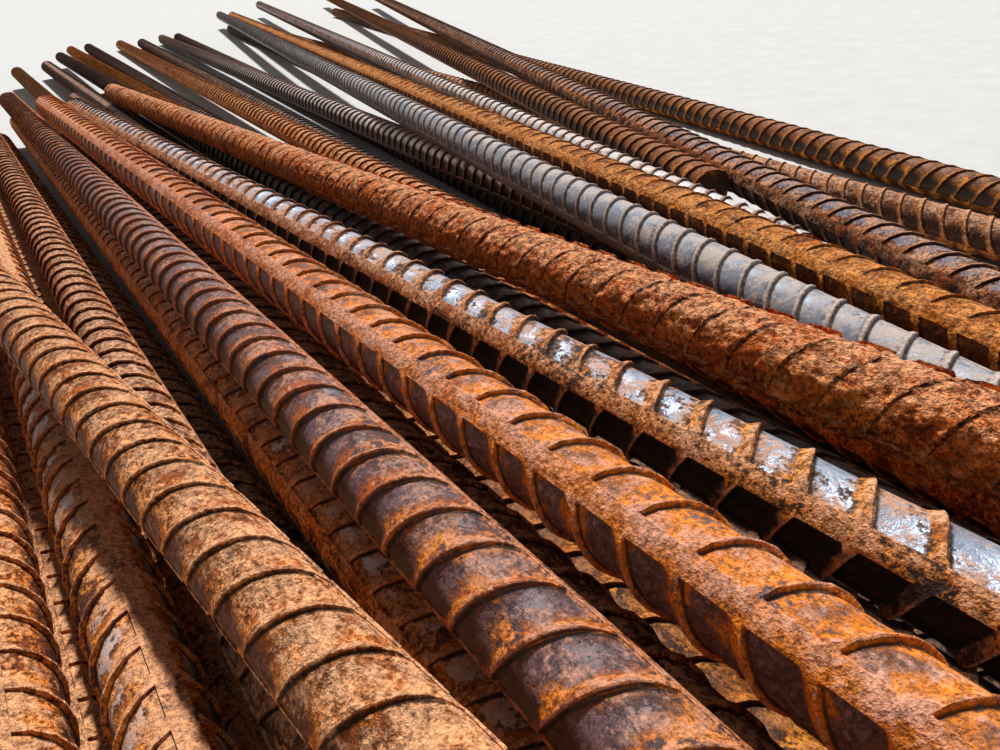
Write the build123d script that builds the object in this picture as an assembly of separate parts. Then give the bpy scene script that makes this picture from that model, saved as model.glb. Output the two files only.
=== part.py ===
from build123d import *
import math
import os

# A loose stack of ribbed reinforcing bars, lying in a fan on level ground.
# Every bar is drawn as a plain round of the room it takes in the stack,
# which is its diameter over the ribs.  Millimetres, +Z up, +X along the bars.

bar_diameter = 28.0      # over the ribs of a nominal 25 mm bar
bar_length = 3000.0      # the short stock length
clearance = 0.2          # left between two bars that rest on each other

bar_radius = bar_diameter / 2
reach = bar_diameter + clearance
stations = 600
end_margin = bar_radius / 5   # a slanting bar's square end reaches this much farther

# Rows in the order they were dropped.  A bar is given by where its far end lies
# along the stack, as a share of the bar length, and by how far across the stack
# its far end and its near end lie, in bar diameters.
ground_row = [
    (-0.393, -2.02, -2.21),
    (-0.420, -0.89, -1.08),
    (-0.467, 0.28, 0.09),
    (-0.443, 1.65, 1.28),
    (-0.473, 3.66, 2.35),
    (-0.493, 5.77, 3.43),
    (-0.520, 8.16, 4.61),
    (-0.901, 14.32, 6.99),
    (-0.868, 18.90, 7.69),
    (-0.875, 22.82, 8.83),
    (-0.886, 28.93, 11.25),
    (-0.891, 30.83, 16.10),
    (-0.906, 42.64, 17.64),
]
second_row = [
    (-0.377, -1.43, -1.71),
    (-0.403, -0.13, -0.70),
    (-0.437, 1.21, 0.28),
    (-0.450, 2.86, 1.27),
    (-0.700, 5.55, 2.94),
    (-0.733, 8.10, 4.36),
    (-0.902, 12.64, 6.29),
    (-0.886, 17.16, 7.35),
    (-0.880, 21.32, 8.73),
    (-1.054, 38.91, 12.99),
    (-1.072, 49.26, 15.27),
    (-0.947, 50.25, 11.85),
]
third_row = [
    (-0.360, 3.68, 1.62),
    (-0.467, 6.02, 2.85),
    (-0.799, 10.17, 5.12),
    (-0.966, 32.08, 8.71),
    (-0.973, 30.89, 7.51),
]
top_row = [
    (-0.457, 2.79, 1.67),
    (-0.343, 3.34, 4.09),
    (-0.373, 4.70, 5.64),
    (-0.430, 7.30, 5.43),
    (-1.013, -10.75, 1.19),
]


def height_needed(x, across, placed):
    """Lowest height of a bar's centre at x that clears the ground and the bars below."""
    need = bar_radius
    for other in placed:
        if other["start"] - end_margin <= x <= other["end"] + end_margin:
            offset = abs(across - other["across"] - other["slope"] * x)
            aside = offset / math.hypot(1, other["slope"])
            if aside < reach:
                lift = math.sqrt(reach ** 2 - aside ** 2)
                need = max(need, other["height"] + other["rise"] * x + lift)
    return need


def rest(name, far_end, far_offset, near_offset, placed):
    """Lay a bar on what is below it, on the two supports astride its middle."""
    start = far_end * bar_length
    sideways = (near_offset - far_offset) * bar_diameter
    span = math.sqrt(bar_length ** 2 - sideways ** 2)
    slope = sideways / span
    across = far_offset * bar_diameter - slope * start
    end = start + span
    checked = [start + span * i / stations for i in range(stations + 1)]
    for other in placed:
        for x in (other["start"] - end_margin, other["end"] + end_margin):
            if start < x < end:
                checked.append(x)
    spots = [(x, height_needed(x, across + slope * x, placed)) for x in sorted(checked)]
    hull = []
    for spot in spots:
        while len(hull) > 1:
            (ax, az), (bx, bz) = hull[-2], hull[-1]
            if (bz - az) * (spot[0] - ax) > (spot[1] - az) * (bx - ax):
                break
            hull.pop()
        hull.append(spot)
    centre = (start + end) / 2
    for (ax, az), (bx, bz) in zip(hull, hull[1:]):
        if ax <= centre <= bx:
            rise = (bz - az) / (bx - ax)
            height = az - rise * ax
            break
    placed.append({
        "name": name,
        "start": start,
        "end": end,
        "across": across,
        "slope": slope,
        "height": height,
        "rise": rise,
    })


def straight_bar(bar):
    """The round of a laid bar, from its far end along its own direction."""
    run = Vector(1, bar["slope"], bar["rise"]).normalized()
    start = bar["start"]
    across = bar["across"] + bar["slope"] * start
    foot = Vector(start, across, bar["height"] + bar["rise"] * start)
    return Solid.make_cylinder(bar_radius, bar_length, Plane(origin=foot, z_dir=run))


placed = []
rows = {
    "ground_bar": ground_row,
    "second_bar": second_row,
    "third_bar": third_row,
    "top_bar": top_row,
}
for row_name, row in rows.items():
    for i, (far_end, far_offset, near_offset) in enumerate(row):
        rest(f"{row_name}_{i + 1}", far_end, far_offset, near_offset, placed)

bars = {bar["name"]: straight_bar(bar) for bar in placed}

# The middle of the stack's footprint becomes the origin.
box = Compound(list(bars.values())).bounding_box()
shift = Vector(-(box.min.X + box.max.X) / 2, -(box.min.Y + box.max.Y) / 2, 0)

os.makedirs("parts", exist_ok=True)
for name, bar in bars.items():
    export_step(bar.moved(Location(shift)), f"parts/{name}.step")
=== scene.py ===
import math

import bmesh
import bpy
import numpy as np
from mathutils import Matrix, Vector


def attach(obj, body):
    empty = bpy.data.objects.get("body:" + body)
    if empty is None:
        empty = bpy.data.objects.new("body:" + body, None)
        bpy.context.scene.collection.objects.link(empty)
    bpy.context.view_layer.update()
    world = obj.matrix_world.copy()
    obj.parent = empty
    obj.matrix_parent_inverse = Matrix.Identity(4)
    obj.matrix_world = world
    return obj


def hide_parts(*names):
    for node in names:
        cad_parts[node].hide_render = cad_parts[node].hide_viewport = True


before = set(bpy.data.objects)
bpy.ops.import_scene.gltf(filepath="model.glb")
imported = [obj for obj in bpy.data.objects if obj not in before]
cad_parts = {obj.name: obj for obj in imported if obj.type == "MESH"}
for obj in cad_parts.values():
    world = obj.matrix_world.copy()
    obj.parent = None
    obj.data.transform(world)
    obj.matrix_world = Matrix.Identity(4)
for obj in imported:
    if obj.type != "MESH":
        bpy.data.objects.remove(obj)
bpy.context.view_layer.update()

# Ribbed bar, in metres.  The ribs reach the diameter that the CAD rounds have.
over_ribs = 0.014          # radius over the slanting ribs in mid flank
over_strips = 0.0133       # radius over the two long ribs
strip_proud = 0.0003       # least height of a long rib over its core
bar_length = 3.0
rib_pitch = 0.0165
rib_base = 0.0045          # what a slanting rib takes up of its pitch
rib_rise = 0.0031          # run of the rib's gentle side
rib_fall = 0.0004          # run of its steep side
rib_lean = 0.0175          # how far a slanting rib runs along the bar on its way round
strip_half = math.radians(15)        # half the angle that a long rib takes up
flank = math.pi - 2 * strip_half     # angle from one long rib to the other
spare_pitches = 3          # made past the bar's length, and sawn off
searched_columns = 4       # columns beside a long rib's middle, one of which borders it

# Radius of the core.  Thick rust fills the room between the ribs.
bare_core = 0.0123
crusted_core = 0.0129
buried_core = 0.0137
crusted = ("third_bar_4", "top_bar_5")
buried = "top_bar_4"
buried_splits = 3          # parts of a buried bar's core between two ribs
buried_cuts = 2            # further cuts of each of its faces near the camera
buried_from = 0.40         # the finer stretch starts this much later than the near one

# How far the crust eats into the ribs' shape, and the size of its lumps, in metres.
flaked = {
    "top_bar_4": (0.0028, 0.0030),
    "third_bar_4": (0.0016, 0.0040),
    "top_bar_5": (0.0012, 0.0050),
    "top_bar_1": (0.0005, 0.0060),
    "top_bar_2": (0.0007, 0.0060),
    "top_bar_3": (0.0006, 0.0060),
}

crumb_detail = 3           # how many finer lumps lie on the crust's lumps

near_from, near_to = -0.30, 0.68     # where the stack lies near the camera, along X
near_sides = 24            # bars with this many sides have softened ribs there
crest_round = 0.0005
sharp = math.radians(32)             # edges past this angle are softened
smooth_angle = math.radians(38)      # shading is smooth below this angle
buried_smooth_angle = math.radians(72)
end_band = 0.03            # CAD points this near to a bar's end belong to its end face

# Closer than these, two places or two angles are the same.
hair = 1e-5
angle_hair = 1e-3
laid_angle_hair = 1e-2     # the same for a whole bar, whose ribs were softened


def deselect():
    bpy.ops.object.select_all(action="DESELECT")


def take(piece):
    """Make one object the only selected and active one."""
    deselect()
    piece.select_set(True)
    bpy.context.view_layer.objects.active = piece


def edit(piece):
    take(piece)
    bpy.ops.object.mode_set(mode="EDIT")
    bpy.ops.mesh.select_mode(type="VERT")
    bpy.ops.mesh.select_all(action="DESELECT")


def leave():
    bpy.ops.object.mode_set(mode="OBJECT")


def pick(piece, kind, wanted):
    """Select the vertices, edges or faces that pass the test, and no others."""
    bpy.ops.mesh.select_mode(type=kind)
    mesh = bmesh.from_edit_mesh(piece.data)
    for part in {"VERT": mesh.verts, "EDGE": mesh.edges, "FACE": mesh.faces}[kind]:
        part.select_set(bool(wanted(part)))
    if kind == "VERT":
        mesh.select_flush_mode()
    bmesh.update_edit_mesh(piece.data)


def bisect_all(place):
    """Cut the whole mesh across at a place along the bar."""
    bpy.ops.mesh.select_all(action="SELECT")
    bpy.ops.mesh.bisect(plane_co=(place, 0, 0), plane_no=(1, 0, 0))


def radius(co):
    return math.hypot(co.y, co.z)


def round_angle(co):
    """Angle round the bar from the middle of the upper long rib, 0 to 180 degrees either way."""
    return abs(math.atan2(co.y, co.z))


def on_strip(co):
    angle = round_angle(co)
    return min(angle, math.pi - angle) < strip_half + angle_hair


def widen_columns(piece, core, step, odd):
    """Bring the columns that border the long ribs to the ribs' true width."""
    for side in (-1, 1):
        for pole in (0, math.pi):
            edge = pole + side * strip_half
            columns = [pole + side * step * (k + odd / 2) for k in range(searched_columns)]
            now = min(columns, key=lambda angle: abs(angle - edge))
            if abs(now - edge) > angle_hair / 10:     # else it is there already
                y, z = math.sin(now) * core, math.cos(now) * core
                pick(piece, "VERT", lambda v: math.hypot(v.co.y - y, v.co.z - z) < hair)
                shift = (0, math.sin(edge) * core - y, math.cos(edge) * core - z)
                bpy.ops.transform.translate(value=shift)


def stray_face(face, core):
    """Walls that would close the long ribs at the pitch's ends, and the covered core."""
    xs = [v.co.x for v in face.verts]
    centre = face.calc_center_median()
    flat = max(xs) - min(xs) < hair
    at_end = min(abs(xs[0]), abs(xs[0] - rib_pitch)) < hair
    covered = on_strip(centre) or centre.x < rib_base - hair
    inner = all(radius(v.co) < core + hair for v in face.verts)
    return (flat and at_end and on_strip(centre)) or (inner and covered)


def raise_ribs(piece, core):
    """Draw both long ribs and the slanting ribs out of the core."""
    pick(piece, "FACE", lambda f: on_strip(f.calc_center_median())
         or f.calc_center_median().x < rib_base)
    bpy.ops.mesh.extrude_region_move(TRANSFORM_OT_translate={"value": (0, 0, 0)})
    grow = over_ribs / core
    bpy.ops.transform.resize(value=(1, grow, grow), center_override=(0, 0, 0))
    pick(piece, "FACE", lambda f: stray_face(f, core))
    bpy.ops.mesh.delete(type="FACE")


def rib_height(share, core):
    """Radius over the ribs at a share of the way from one long rib to the other."""
    if 0 < share < 1:
        return over_strips + (over_ribs - over_strips) * math.sin(math.pi * share)
    return max(over_strips, core + strip_proud)


def shape_ribs(piece, core, lean):
    """Slope the slanting ribs' sides, swell them in mid flank and lean them over."""
    out = core + (over_ribs - core) / 4     # all that was raised lies past this radius
    for foot, shift in ((0, rib_rise), (rib_base, -rib_fall)):
        pick(piece, "VERT", lambda v: radius(v.co) > out and not on_strip(v.co)
             and abs(v.co.x - foot) < hair)
        bpy.ops.transform.translate(value=(shift, 0, 0))
    angles = []
    for v in bmesh.from_edit_mesh(piece.data).verts:
        angle = round_angle(v.co)
        if all(abs(angle - known) > angle_hair for known in angles):
            angles.append(angle)
    for angle in angles:
        share = min(max((angle - strip_half) / flank, 0), 1)
        shrink = rib_height(share, core) / over_ribs
        pick(piece, "VERT", lambda v: radius(v.co) > out
             and abs(round_angle(v.co) - angle) < angle_hair)
        bpy.ops.transform.resize(value=(1, shrink, shrink), center_override=(0, 0, 0))
        if share > 0:
            pick(piece, "VERT", lambda v: abs(round_angle(v.co) - angle) < angle_hair)
            bpy.ops.transform.translate(value=(lean * share, 0, 0))


def one_pitch(sides, core, lean, splits):
    """One pitch of bar: a core with a slanting rib on each flank and both long ribs."""
    bpy.ops.mesh.primitive_cylinder_add(
        vertices=sides, radius=core, depth=rib_pitch, end_fill_type="NOTHING",
        location=(rib_pitch / 2, 0, 0), rotation=(0, math.pi / 2, 0))
    piece = bpy.context.object
    bpy.ops.object.transform_apply(location=True, rotation=True, scale=True)
    step = 2 * math.pi / sides
    odd = round(strip_half * 2 / step) % 2
    if odd:
        piece.rotation_euler = (step / 2, 0, 0)
        bpy.ops.object.transform_apply(location=False, rotation=True, scale=False)
    edit(piece)
    widen_columns(piece, core, step, odd)
    for k in range(splits):
        bisect_all(rib_base + (rib_pitch - rib_base) * k / splits)
    raise_ribs(piece, core)
    shape_ribs(piece, core, lean)
    leave()
    return piece


def long_bar(sides, core, lean, splits):
    """The pitch repeated over more than a bar's length, in one welded skin."""
    bar = one_pitch(sides, core, lean, splits)
    array = bar.modifiers.new("pitches", "ARRAY")
    array.use_relative_offset = False
    array.use_constant_offset = True
    array.constant_offset_displace = (rib_pitch, 0, 0)
    array.count = math.ceil((bar_length + 2 * rib_lean) / rib_pitch) + spare_pitches
    array.use_merge_vertices = True
    array.merge_threshold = hair
    take(bar)
    bpy.ops.object.modifier_apply(modifier=array.name)
    bar.location.x = -rib_pitch - rib_lean
    bpy.ops.object.transform_apply(location=True, rotation=False, scale=False)
    return bar


def cut_to_length(bar, phase):
    """Shift the ribs along by part of a pitch, then saw both ends square."""
    take(bar)
    bar.location.x = phase * rib_pitch
    bpy.ops.object.transform_apply(location=True, rotation=False, scale=False)
    edit(bar)
    for place, way in ((0, -1), (bar_length, 1)):
        bpy.ops.mesh.select_all(action="SELECT")
        bpy.ops.mesh.bisect(
            plane_co=(place, 0, 0), plane_no=(way, 0, 0), use_fill=True, clear_outer=True)
    leave()


def refine(bar, low, high):
    """Split the faces of a stretch so that a crust can dent them."""
    edit(bar)
    pick(bar, "FACE", lambda f: low < f.calc_center_median().x < high)
    bpy.ops.mesh.subdivide(number_cuts=buried_cuts)
    leave()


def sharp_in_zone(edge, low, high):
    if len(edge.link_faces) != 2:
        return False
    x = (edge.verts[0].co.x + edge.verts[1].co.x) / 2
    return low < x < high and edge.calc_face_angle(0) > sharp


def soften(bar, low, high):
    """Round the crests and feet of the ribs between two places along the bar."""
    edit(bar)
    pick(bar, "EDGE", lambda e: sharp_in_zone(e, low, high))
    bpy.ops.mesh.bevel(offset=crest_round, segments=1, affect="EDGES", clamp_overlap=True)
    leave()


def mark_relief(bar, core, lean, phase):
    """Keep on the mesh how far each point stands out, where the long ribs are,
    and the point's place along the bar, counted in pitches from a rib's gentle foot."""
    co = np.zeros(len(bar.data.vertices) * 3)
    bar.data.vertices.foreach_get("co", co)
    x, y, z = co.reshape(-1, 3).T
    raised = np.clip((np.hypot(y, z) - core) / (over_strips - core), 0, 1)
    angle = np.abs(np.arctan2(y, z))
    strip = (np.minimum(angle, np.pi - angle) < strip_half + laid_angle_hair) * 1.0
    share = np.clip((angle - strip_half) / flank, 0, 1)
    turns = (x - lean * share + rib_lean) / rib_pitch - phase + 1
    for name, values in (("raised", raised), ("strip", strip), ("turns", turns)):
        layer = bar.data.attributes.new(name, "FLOAT", "POINT")
        layer.data.foreach_set("value", values)


def end_centres(node):
    """The middles of the two end faces of a bar's CAD node, the far end first."""
    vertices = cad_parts[node].data.vertices
    spots = np.array(sorted({tuple(round(c, 6) for c in v.co) for v in vertices}))
    run = spots[spots[:, 0].argmax()] - spots[spots[:, 0].argmin()]
    run /= np.linalg.norm(run)
    along = spots @ run
    rings = (along < along.min() + end_band, along > along.max() - end_band)
    return [Vector(spots[ring].mean(axis=0)) for ring in rings]


def near_zone(node):
    """The stretch of a bar, measured from its far end, that lies near the camera."""
    far_end = min(centre.x for centre in end_centres(node))
    return near_from - far_end, near_to - far_end


def lay(bar, node, roll):
    """Put a straight finished bar where its CAD node is, rolled about its own axis."""
    first, last = end_centres(node)
    run = (last - first).normalized()
    side = Vector((0, 0, 1)).cross(run).normalized()
    up = run.cross(side)
    place = Matrix.Translation(first) @ Matrix((run, side, up)).transposed().to_4x4()
    bar.matrix_world = place @ Matrix.Rotation(math.radians(roll), 4, "X")
    take(bar)
    bpy.ops.object.transform_apply(location=True, rotation=True, scale=True)


def crumble(bar, depth, lump):
    """Eat into a laid bar's skin with a lumpy dent, never outwards."""
    cloud = bpy.data.textures.new(f"{bar.name}.lumps", "CLOUDS")
    cloud.noise_scale = lump
    cloud.noise_depth = crumb_detail
    dent = bar.modifiers.new("dents", "DISPLACE")
    dent.texture = cloud
    dent.texture_coords = "LOCAL"
    dent.mid_level = 1.0
    dent.strength = depth
    take(bar)
    bpy.ops.object.modifier_apply(modifier=dent.name)


def tone(red, green, blue):
    """A colour as it is seen, 0 to 255, in the linear values that shaders take."""
    def linear(c):
        c /= 255
        return c / 12.92 if c <= 0.04045 else ((c + 0.055) / 1.055) ** 2.4
    return linear(red), linear(green), linear(blue), 1.0


lump_at_scale_1 = 0.5      # metres across a lump of noise whose scale is 1
noise_middle = 0.5


class Wiring:
    """Short calls that add nodes to one material."""

    def __init__(self, name):
        self.material = bpy.data.materials.new(name)
        self.material.use_nodes = True
        self.tree = self.material.node_tree
        self.shader = self.tree.nodes["Principled BSDF"]
        self.place = self.add("TexCoord").outputs["Object"]

    def add(self, kind):
        return self.tree.nodes.new(f"ShaderNode{kind}")

    def join(self, value, socket):
        """Link an output to a socket, or set the socket's own constant."""
        if hasattr(value, "is_output"):
            self.tree.links.new(value, socket)
        else:
            socket.default_value = value

    def noise(self, size, detail, rough, distort=0.0, stretch=1.0, shift=0.0):
        """Cloudy noise from 0 to 1, whose lumps are about size metres across."""
        place = self.place
        if stretch != 1.0 or shift:
            squeeze = self.add("Mapping")
            self.join(place, squeeze.inputs["Vector"])
            squeeze.inputs["Scale"].default_value = (1 / stretch, 1, 1)
            squeeze.inputs["Location"].default_value = (shift, shift, shift)
            place = squeeze.outputs["Vector"]
        node = self.add("TexNoise")
        self.join(place, node.inputs["Vector"])
        node.inputs["Scale"].default_value = lump_at_scale_1 / size
        node.inputs["Detail"].default_value = detail
        node.inputs["Roughness"].default_value = rough
        node.inputs["Distortion"].default_value = distort
        return node.outputs["Fac"]

    def attribute(self, name):
        node = self.add("Attribute")
        node.attribute_name = name
        return node.outputs["Fac"]

    def upward(self):
        """How far the surface faces up, from -1 to 1."""
        split = self.add("SeparateXYZ")
        self.join(self.add("NewGeometry").outputs["Normal"], split.inputs[0])
        return split.outputs["Z"]

    def math(self, kind, a, b=0.0):
        node = self.add("Math")
        node.operation = kind
        self.join(a, node.inputs[0])
        self.join(b, node.inputs[1])
        return node.outputs[0]

    def plus(self, a, b):
        return self.math("ADD", a, b)

    def less(self, a, b):
        return self.math("SUBTRACT", a, b)

    def times(self, a, b):
        return self.math("MULTIPLY", a, b)

    def apart(self, value, place):
        """How far a value is from a place, either way."""
        return self.math("ABSOLUTE", self.less(value, place))

    def mixed(self, *parts):
        """Sum of values less their middles, each times its share.

        A part is a value and its share, with a middle where it isn't a noise's."""
        total = None
        for value, share, *given in parts:
            middle = given[0] if given else noise_middle
            part = self.times(self.less(value, middle), share)
            total = part if total is None else self.plus(total, part)
        return total

    def span(self, value, low, high, out_low=0.0, out_high=1.0):
        """Value carried from low..high to out_low..out_high, and held at the ends."""
        node = self.add("MapRange")
        self.join(value, node.inputs["Value"])
        node.inputs["From Min"].default_value = low
        node.inputs["From Max"].default_value = high
        node.inputs["To Min"].default_value = out_low
        node.inputs["To Max"].default_value = out_high
        return node.outputs["Result"]

    def blend(self, share, a, b, kind="MIX", data="RGBA"):
        node = self.add("Mix")
        node.data_type = data
        node.blend_type = kind
        self.join(share, node.inputs["Factor"])
        self.join(a, node.inputs["A"])
        self.join(b, node.inputs["B"])
        return node.outputs["Result"]

    def shaded(self, colour, shade):
        """A colour darkened or lightened by a factor."""
        return self.blend(1.0, colour, shade, "MULTIPLY")


# Sizes of the rust's patches, lumps and grains, in metres.
patch_size = 0.009
other_patch_size = 0.7 * patch_size
broad_size = 0.07
lump_size = 0.0030
flake_size = 0.0015
grain_size = 0.0009
fine_size = 0.00032

# Places in one pitch of the bar, as shares of it.
steep_foot = 0.285
crest_end = 0.264
pocket_middle = 0.58
pocket_half = 0.30
crest_core = 0.45          # share of a crest's band that is fully pale
# The painted shadow at a rib's steep foot fades out over this width, in shares of the pitch
foot_shadow_width = (0.018, 0.056)

# A finish's shares, from 0 to 1, set the level where each noise starts to show,
# and the edges are how fast it then comes up.
rust_reach, rust_edge = 0.36, 0.05
bright_reach, bright_edge = 0.40, (0.02, 0.09)
pocket_level, pocket_reach, pocket_edge, film_edge = 0.34, 0.75, 0.12, 0.22
dust_level, dust_reach, dust_edge = 0.30, 0.62, 0.26
even = 0.5                 # a share at which half of the surface shows
facing_up = (0.30, 0.50)   # a surface turns from facing down to facing up over these
crest_relief = (0.35, 0.75)          # how far a crest stands out before it turns pale
film_mottle, shade_mottle = (0.02, 0.24), (-0.02, 0.20)
pit_depth = 0.20           # how far the pits' noise swings, for their shade
rough_depth = 0.15         # and for their roughness

# How strongly each layer covers what is below it.
bright_cover = 0.95
film_cover = 0.85
mottle_cover = 0.70
dust_cover = 0.85
crest_highlight_below = 0.95   # painted highlight on the crests on the sides that face down
rim_rust = 0.9             # rust that creeps into a pocket from a long rib
shade_reach_below = 0.45         # how much further the pockets, with their painted shade, reach where they face down
shade_reach_below_raised = 0.6   # and over what stands out between them
# colour factor in the middle of the painted shadow at a rib's steep foot
foot_shadow_factor = 0.12
pit_shade = 0.66
grain_shine = 0.46
calm_pockets = 0.6         # how much bare metal hides the pits' shading

# Heights of the bump, in metres.
lump_height = 0.0010
grain_height = 0.0006
fine_height = 0.00022
flake_height = 0.0016
bare_height = 0.35         # share of the bump that is left on bare metal

# Roughness in the pits and on the grains, and how much of each a gloss of 1 takes away.
rough_pits, rough_grains = 0.60, 0.95
gloss_pits, gloss_grains = 0.35, 0.30


class Rust(Wiring):
    """The noises and marks of the mesh that all rust is mixed from, and its layers."""

    def __init__(self, name):
        super().__init__(name)
        self.raised = self.attribute("raised")
        self.strip = self.attribute("strip")
        self.turn = self.math("FRACT", self.attribute("turns"))
        self.up = self.upward()
        self.patches = self.noise(patch_size, 6, 0.68, 0.4, 1.7)
        self.others = self.noise(other_patch_size, 6, 0.72, 0.6, 1.2, 3.7)
        self.broad = self.noise(broad_size, 2, 0.5, 0.0, 2.5)
        self.lumps = self.noise(lump_size, 4, 0.65)
        self.flakes = self.noise(flake_size, 3, 0.6, 0.3, 1.0, 5.1)
        self.grain = self.noise(grain_size, 3, 0.7)
        self.fine = self.noise(fine_size, 2, 0.7, 0.0, 1.0, 1.3)
        self.above = self.span(self.up, *facing_up)
        self.below = self.span(self.up, *facing_up, 1.0, 0.0)

    def scale_and_rust(self, deep, rust, bright, rust_share, bright_share):
        """Dark scale, patches of rust on it, and brighter rust on both."""
        rusty = self.mixed((self.patches, 1.0), (self.lumps, 0.35), (self.grain, 0.3),
                           (self.broad, 0.5), (self.raised, 0.05))
        cut = (even - rust_share) * rust_reach
        colour = self.blend(self.span(rusty, cut - rust_edge, cut + rust_edge), deep, rust)
        glow = self.mixed((self.others, 1.0), (self.grain, 0.5), (self.lumps, 0.3),
                          (self.broad, -0.4))
        cut = (even - bright_share) * bright_reach
        early, late = bright_edge
        share = self.span(glow, cut - early, cut + late, 0.0, bright_cover)
        return self.blend(share, colour, bright)

    def pocket_layers(self, pocket_share):
        """The film round the pockets between the ribs, and the pockets themselves.

        Rust creeps into them from the long ribs' rims where they face up.  Where they face down
        they reach further, over the ribs too, and carry painted shade."""
        inner = self.mixed((self.apart(self.turn, pocket_middle), -1.0, pocket_half),
                           (self.raised, -1.1, 0.0), (self.lumps, 1.2), (self.patches, 2.0),
                           (self.grain, 1.0))
        inner = self.plus(inner, self.times(self.times(self.strip, self.above), -rim_rust))
        shade_reach = self.plus(shade_reach_below, self.times(self.raised, shade_reach_below_raised))
        inner = self.plus(inner, self.times(self.below, shade_reach))
        cut = pocket_level - pocket_reach * pocket_share
        return self.span(inner, cut - film_edge, cut), self.span(inner, cut, cut + pocket_edge)

    def pocket_colour(self, pocket, film, shaded_pocket, deep):
        """The pockets' mottled colour, which turns to a dark painted shade where they face down.
        """
        mottle = self.mixed((self.grain, 1.0), (self.others, 1.6))
        mottled = self.blend(self.span(mottle, *film_mottle, 0.0, mottle_cover), pocket, film)
        mottle = self.mixed((self.grain, 1.0), (self.lumps, 1.0))
        painted_shade = self.blend(self.span(mottle, *shade_mottle, 0.0, mottle_cover), shaded_pocket, deep)
        return self.blend(self.below, mottled, painted_shade)

    def dust(self, dust_share):
        """Dust, mostly on what faces up."""
        lit = self.mixed((self.up, 0.40, 0.35), (self.strip, 0.10, 0.3), (self.raised, 0.10),
                         (self.lumps, 0.7), (self.grain, 0.8), (self.others, 1.5))
        cut = dust_level - dust_reach * dust_share
        return self.span(lit, cut, cut + dust_edge, 0.0, dust_cover)

    def worn_and_highlit_crests(self, crest_wear_and_highlight, band):
        """Pale crests, partly wear and partly painted highlight, strongest where they stand out
        from the dark pockets on the sides that face down.
        """
        near_crest = self.apart(self.turn, crest_end - band)
        crest = self.span(near_crest, crest_core * band, band, 1.0, 0.0)
        crest = self.times(crest, self.span(self.raised, *crest_relief))
        crest = self.times(crest, self.less(1.0, self.strip))
        return self.times(crest, self.plus(crest_wear_and_highlight, self.times(self.below, crest_highlight_below - crest_wear_and_highlight)))

    def seam(self):
        """Painted shadow: a dark line along the steep foot of each slanting rib, where its shade
        falls.
        """
        seam = self.mixed((self.apart(self.turn, steep_foot), 1.0, 0.0), (self.raised, 0.10, 0.0),
                          (self.strip, 1.0, 0.0), (self.grain, 0.06))
        return self.span(seam, *foot_shadow_width, foot_shadow_factor, 1.0)


def rusted(name, deep, rust, bright, tan, pocket, film, shaded_pocket=(40, 34, 32), rust_share=0.5,
           bright_share=0.4, dust_share=0.5, pocket_share=0.7, metal=0.0, pocket_gloss=0.5,
           crust=1.0, flake=0.0, gloss=0.0, speckle=1.0, shine=0.12, crest_wear_and_highlight=0.22, band=0.042):
    """Rusted steel: scale, rust, bright rust, pockets of another colour with painted shade where
    they face down, dust, pale crests that are partly wear and partly painted highlight, and
    painted shadow at the ribs' steep feet.
    """
    w = Rust(name)
    deep, rust, bright, tan, pocket, film, shaded_pocket = (
        tone(*seen) for seen in (deep, rust, bright, tan, pocket, film, shaded_pocket))
    filmed, in_pocket = w.pocket_layers(pocket_share)
    dusty = w.dust(dust_share)
    bare = w.times(in_pocket, w.less(1.0, dusty))

    colour = w.scale_and_rust(deep, rust, bright, rust_share, bright_share)
    colour = w.blend(w.times(filmed, film_cover), colour, film)
    colour = w.blend(in_pocket, colour, w.pocket_colour(pocket, film, shaded_pocket, deep))
    colour = w.blend(dusty, colour, tan)
    # Pale crests: wear, and painted highlight on the sides that face down.
    colour = w.blend(w.worn_and_highlit_crests(crest_wear_and_highlight, band), colour, tan)
    # Painted shadow along the steep foot of each slanting rib.
    colour = w.shaded(colour, w.seam())
    # Dark pits and pale grains, calmer on bare metal.
    pits = w.mixed((w.fine, 0.8), (w.grain, 1.1), (w.others, 0.15), (w.flakes, flake))
    shade = w.span(pits, -pit_depth, pit_depth, 1.0 - pit_shade * speckle,
                   1.0 + grain_shine * speckle)
    if metal:
        shade = w.blend(w.times(in_pocket, calm_pockets), shade, tone(255, 255, 255))
        w.join(w.times(bare, metal), w.shader.inputs["Metallic"])
    w.join(w.shaded(colour, shade), w.shader.inputs["Base Color"])

    rough = w.span(pits, -rough_depth, rough_depth, rough_pits - gloss * gloss_pits,
                   rough_grains - gloss * gloss_grains)
    w.join(w.blend(bare, rough, pocket_gloss, data="FLOAT"), w.shader.inputs["Roughness"])
    w.shader.inputs["Specular IOR Level"].default_value = shine

    height = w.mixed((w.lumps, lump_height * crust), (w.grain, grain_height * crust),
                     (w.fine, fine_height * crust), (w.flakes, flake_height * flake))
    height = w.times(height, w.span(bare, 0.0, 1.0, 1.0, bare_height))
    bump = w.add("Bump")
    bump.inputs["Strength"].default_value = 1.0
    bump.inputs["Distance"].default_value = 1.0
    w.join(height, bump.inputs["Height"])
    w.join(bump.outputs["Normal"], w.shader.inputs["Normal"])
    return w.material
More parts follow.
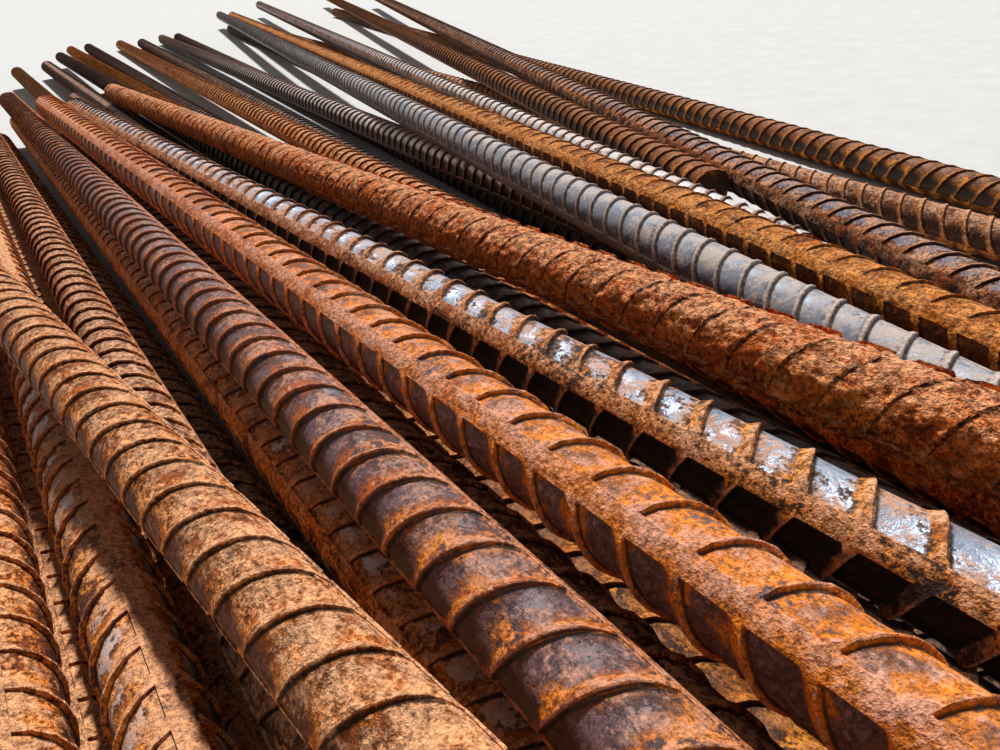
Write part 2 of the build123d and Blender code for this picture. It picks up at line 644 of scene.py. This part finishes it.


# Colours are as seen, 0 to 255.  Deep is the scale beneath the rust, film the rim round
# a pocket, and the colour after film is painted shade, for the pockets that face down.
looks = {
    "tan dust": dict(
        deep=(140, 72, 40), rust=(210, 114, 48), bright=(250, 146, 44), tan=(238, 176, 130),
        pocket=(160, 88, 52), film=(140, 78, 48), shaded_pocket=(92, 54, 36),
        rust_share=0.68, bright_share=0.66, dust_share=0.54, pocket_share=0.1,
        crust=2.0, flake=0.5),
    "orange patches": dict(
        deep=(136, 108, 106), rust=(204, 106, 40), bright=(255, 142, 16), tan=(220, 158, 132),
        pocket=(112, 74, 64), film=(112, 72, 58), shaded_pocket=(100, 66, 58),
        rust_share=0.62, bright_share=0.74, dust_share=0.28, pocket_share=-0.08,
        crust=1.4, gloss=0.25, shine=0.25),
    "bright pockets": dict(
        deep=(66, 42, 34), rust=(184, 102, 46), bright=(240, 146, 40), tan=(220, 164, 130),
        pocket=(164, 174, 190), film=(150, 116, 100), shaded_pocket=(30, 32, 35),
        rust_share=0.6, bright_share=0.55, dust_share=0.26, pocket_share=0.5,
        metal=0.3, pocket_gloss=0.38, crust=1.5, speckle=1.2, shine=0.25),
    "flaking crust": dict(
        deep=(154, 72, 34), rust=(228, 118, 54), bright=(255, 152, 60), tan=(246, 174, 126),
        pocket=(160, 84, 44), film=(150, 78, 42), shaded_pocket=(150, 80, 42),
        rust_share=0.7, bright_share=0.5, dust_share=0.54, pocket_share=-0.8,
        crust=3.0, flake=1.2, speckle=0.94, crest_wear_and_highlight=0.1),
    "grey scale": dict(
        deep=(112, 108, 112), rust=(146, 132, 126), bright=(196, 142, 98), tan=(206, 186, 172),
        pocket=(134, 137, 148), film=(116, 112, 116), shaded_pocket=(74, 78, 90),
        rust_share=0.45, bright_share=0.4, dust_share=0.46, pocket_share=0.9,
        metal=0.25, pocket_gloss=0.46, crust=0.8, speckle=0.7, shine=0.3, crest_wear_and_highlight=0.85, band=0.085),
    "ochre crust": dict(
        deep=(112, 58, 24), rust=(208, 114, 34), bright=(246, 156, 40), tan=(226, 150, 86),
        pocket=(136, 72, 32), film=(120, 62, 28), shaded_pocket=(104, 54, 28),
        rust_share=0.68, bright_share=0.5, dust_share=0.42, pocket_share=-0.02,
        crust=1.8, flake=0.6, speckle=1.1),
    "plum scale": dict(
        deep=(88, 60, 58), rust=(188, 92, 28), bright=(244, 138, 24), tan=(196, 142, 118),
        pocket=(112, 82, 84), film=(84, 56, 50), shaded_pocket=(74, 44, 32),
        rust_share=0.6, bright_share=0.6, dust_share=0.28, pocket_share=0.3,
        pocket_gloss=0.45, gloss=0.3, shine=0.3),
    "dark brown": dict(
        deep=(40, 24, 18), rust=(110, 60, 28), bright=(184, 108, 44), tan=(156, 112, 84),
        pocket=(46, 31, 26), film=(40, 26, 22), shaded_pocket=(26, 18, 15),
        rust_share=0.4, bright_share=0.3, dust_share=0.22, pocket_share=0.4,
        gloss=0.3, shine=0.2),
    "dark crescents": dict(
        deep=(84, 50, 36), rust=(170, 96, 50), bright=(220, 144, 74), tan=(206, 152, 118),
        pocket=(124, 116, 126), film=(92, 62, 50), shaded_pocket=(58, 38, 32),
        bright_share=0.5, dust_share=0.38, pocket_share=0.5,
        pocket_gloss=0.4, crest_wear_and_highlight=0.6, band=0.06),
    "tan brown": dict(
        deep=(92, 52, 34), rust=(188, 108, 52), bright=(236, 146, 60), tan=(226, 170, 132),
        pocket=(110, 66, 46), film=(92, 54, 38), shaded_pocket=(70, 42, 30),
        rust_share=0.6, bright_share=0.5, dust_share=0.5, pocket_share=0.2,
        crust=1.4, flake=0.3),
    "glossy brown": dict(
        deep=(72, 40, 20), rust=(180, 98, 28), bright=(232, 144, 40), tan=(190, 122, 68),
        pocket=(138, 78, 30), film=(100, 56, 26), shaded_pocket=(50, 28, 16),
        rust_share=0.65, bright_share=0.5, dust_share=0.2, pocket_share=0.35,
        gloss=0.35, shine=0.2),
    "pale metal": dict(
        deep=(88, 60, 50), rust=(164, 102, 58), bright=(214, 148, 86), tan=(210, 172, 150),
        pocket=(214, 210, 208), film=(142, 114, 102), shaded_pocket=(52, 44, 42),
        dust_share=0.26, pocket_share=0.66, metal=0.4, pocket_gloss=0.36, shine=0.3),
    "orange glints": dict(
        deep=(110, 62, 40), rust=(212, 112, 36), bright=(250, 152, 36), tan=(230, 168, 126),
        pocket=(206, 190, 186), film=(130, 78, 56),
        rust_share=0.62, bright_share=0.6, dust_share=0.42, pocket_share=0.2,
        metal=0.1, crust=1.2, shine=0.2),
}
finishes = {look: rusted(look.replace(" ", "_"), **values) for look, values in looks.items()}

# Each bar: CAD node, sides of its section, finish, roll in degrees, which way its
# ribs lean, shift of its ribs in pitches, and its slot.
bars = [
    ("ground_bar_1", 16, "tan brown", 30, 1, 0.10, "dusty_rust"),
    ("ground_bar_2", 16, "tan dust", 25, 1, 0.55, "dusty_rust"),
    ("ground_bar_3", 16, "orange glints", 150, -1, 0.30, "orange_rust"),
    ("ground_bar_4", 16, "tan brown", 60, 1, 0.80, "dusty_rust"),
    ("ground_bar_5", 10, "dark brown", 10, 1, 0.15, "dark_rust"),
    ("ground_bar_6", 10, "dark brown", 95, -1, 0.65, "dark_rust"),
    ("ground_bar_7", 10, "dark brown", 130, 1, 0.40, "dark_rust"),
    ("ground_bar_8", 10, "dark brown", 75, 1, 0.90, "dark_rust"),
    ("ground_bar_9", 10, "dark brown", 40, -1, 0.25, "dark_rust"),
    ("ground_bar_10", 10, "dark brown", 165, 1, 0.70, "dark_rust"),
    ("ground_bar_11", 10, "dark brown", 110, 1, 0.05, "dark_rust"),
    ("ground_bar_12", 16, "tan brown", 125, -1, 0.45, "dusty_rust"),
    ("ground_bar_13", 16, "glossy brown", 130, 1, 0.50, "dark_rust"),
    ("second_bar_1", 16, "tan dust", 8, 1, 0.35, "dusty_rust"),
    ("second_bar_2", 16, "orange glints", -22, 1, 0.75, "dusty_rust"),
    ("second_bar_3", 16, "tan brown", 105, 1, 0.20, "dark_rust"),
    ("second_bar_4", 16, "orange glints", 65, 1, 0.60, "orange_rust"),
    ("second_bar_5", 16, "glossy brown", 118, 1, 0.85, "orange_rust"),
    ("second_bar_6", 16, "dark brown", 15, -1, 0.50, "dusty_rust"),
    ("second_bar_7", 16, "ochre crust", 120, 1, 0.95, "orange_rust"),
    ("second_bar_8", 16, "tan dust", 90, 1, 0.15, "dusty_rust"),
    ("second_bar_9", 16, "pale metal", 130, 1, 0.40, "bare_scale"),
    ("second_bar_10", 16, "pale metal", 75, -1, 0.65, "bare_scale"),
    ("second_bar_11", 16, "glossy brown", 130, 1, 0.10, "dark_rust"),
    ("second_bar_12", 16, "dark crescents", 72, 1, 0.25, "scaled_rust"),
    ("third_bar_1", 16, "tan brown", 80, 1, 0.55, "dark_rust"),
    ("third_bar_2", 12, "dark brown", 25, 1, 0.30, "dark_rust"),
    ("third_bar_3", 12, "dark brown", 120, 1, 0.80, "orange_rust"),
    ("third_bar_4", 24, "ochre crust", 48, 1, 0.70, "crusted_rust"),
    ("third_bar_5", 24, "grey scale", 115, -1, 0.45, "mill_scale"),
    ("top_bar_1", 24, "plum scale", 125, 1, 0.90, "scaled_rust"),
    ("top_bar_2", 24, "orange patches", 40, 1, 0.20, "orange_rust"),
    ("top_bar_3", 24, "bright pockets", 50, -1, 0.60, "bare_scale"),
    ("top_bar_4", 24, "flaking crust", 128, 1, 0.35, "crusted_rust"),
    ("top_bar_5", 24, "tan dust", 110, 1, 0.75, "dusty_rust"),
]


def finished_bar(node, sides, roll, lean_way, phase, stock):
    """A ribbed bar in its place, copied from the stock bar of its kind."""
    core = buried_core if node == buried else crusted_core if node in crusted else bare_core
    lean = rib_lean * lean_way
    kind = (sides, core, lean, buried_splits if node == buried else 1)
    if kind not in stock:
        stock[kind] = long_bar(*kind)
    bar = stock[kind].copy()
    bar.data = stock[kind].data.copy()
    bar.name = f"{node}.ribbed"
    bpy.context.scene.collection.objects.link(bar)
    cut_to_length(bar, phase)
    low, high = near_zone(node)
    if node == buried:
        refine(bar, low + buried_from, high)
    elif sides == near_sides:
        soften(bar, low, high)
    mark_relief(bar, core, lean, phase)
    lay(bar, node, roll)
    if node in flaked:
        crumble(bar, *flaked[node])
    take(bar)
    angle = buried_smooth_angle if node == buried else smooth_angle
    bpy.ops.object.shade_smooth_by_angle(angle=angle)
    return bar


deselect()
stock = {}
for node, sides, finish, roll, lean_way, phase, slot in bars:
    bar = finished_bar(node, sides, roll, lean_way, phase, stock)
    bar.data.materials.clear()
    bar.data.materials.append(finishes[finish])
    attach(bar, "root")
    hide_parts(node)
for made in stock.values():
    bpy.data.objects.remove(made)

# Pale studio, in metres: a floor, one key lamp high beyond the far ends, and an even sky.
floor_size = 30
floor_cloud_size = 0.02
sun_strength = 3.9
sun_width = math.radians(5)
towards_sun = Vector((-0.48, 0.30, 0.82))
sky_seen, sky_light = 1.0, 0.10      # strength of the sky to look at, and as a light

bpy.ops.mesh.primitive_plane_add(size=floor_size, location=(0, 0, 0))
floor = bpy.context.object
floor.name = "floor"
pale = Wiring("pale_floor")
clouds = pale.noise(floor_cloud_size, 4, 0.6)
shade = pale.blend(pale.span(clouds, 0.3, 0.7), tone(216, 214, 210), tone(226, 224, 220))
pale.join(shade, pale.shader.inputs["Base Color"])
pale.shader.inputs["Roughness"].default_value = 0.9
floor.data.materials.append(pale.material)

key = bpy.data.lights.new("key", "SUN")
key.energy = sun_strength
key.angle = sun_width
key_lamp = bpy.data.objects.new("key", key)
key_lamp.rotation_euler = towards_sun.to_track_quat("Z", "Y").to_euler()
bpy.context.scene.collection.objects.link(key_lamp)

# The sky is white where it is seen, straight or in a reflection, and dim as a light.
world = bpy.data.worlds.new("studio")
bpy.context.scene.world = world
world.use_nodes = True
sky = world.node_tree
sky.nodes.clear()


def background(colour, strength):
    node = sky.nodes.new("ShaderNodeBackground")
    node.inputs["Color"].default_value = colour
    node.inputs["Strength"].default_value = strength
    return node.outputs[0]


seen = background((0.93, 0.93, 0.94, 1), sky_seen)
fill = background((0.95, 0.97, 1.0, 1), sky_light)
path = sky.nodes.new("ShaderNodeLightPath")
looked_at = path.outputs["Is Camera Ray"]
for ray in ("Is Glossy Ray", "Is Transmission Ray"):
    either = sky.nodes.new("ShaderNodeMath")
    either.operation = "MAXIMUM"
    sky.links.new(looked_at, either.inputs[0])
    sky.links.new(path.outputs[ray], either.inputs[1])
    looked_at = either.outputs[0]
chosen = sky.nodes.new("ShaderNodeMixShader")
sky.links.new(looked_at, chosen.inputs["Fac"])
sky.links.new(fill, chosen.inputs[1])
sky.links.new(seen, chosen.inputs[2])
out = sky.nodes.new("ShaderNodeOutputWorld")
sky.links.new(chosen.outputs[0], out.inputs["Surface"])

# The photograph's view, as fitted to the bars' lines in it.
camera_place = (0.6247, -0.5525, 0.215)
right = Vector((0.5706, 0.8167, -0.0864)).normalized()
ahead = Vector((-0.7357, 0.4615, -0.4958)).normalized()
above = right.cross(ahead).normalized()
lens = bpy.data.cameras.new("camera")
lens.sensor_fit = "HORIZONTAL"
lens.sensor_width = 36.0             # millimetres, as the focal length
lens.lens = 28.08
lens.clip_start = 0.01
camera = bpy.data.objects.new("camera", lens)
turned = Matrix((right, above, -ahead)).transposed().to_4x4()
camera.matrix_world = Matrix.Translation(camera_place) @ turned
bpy.context.scene.collection.objects.link(camera)
bpy.context.scene.camera = camera

bpy.context.scene.view_settings.view_transform = "Standard"

deselect()
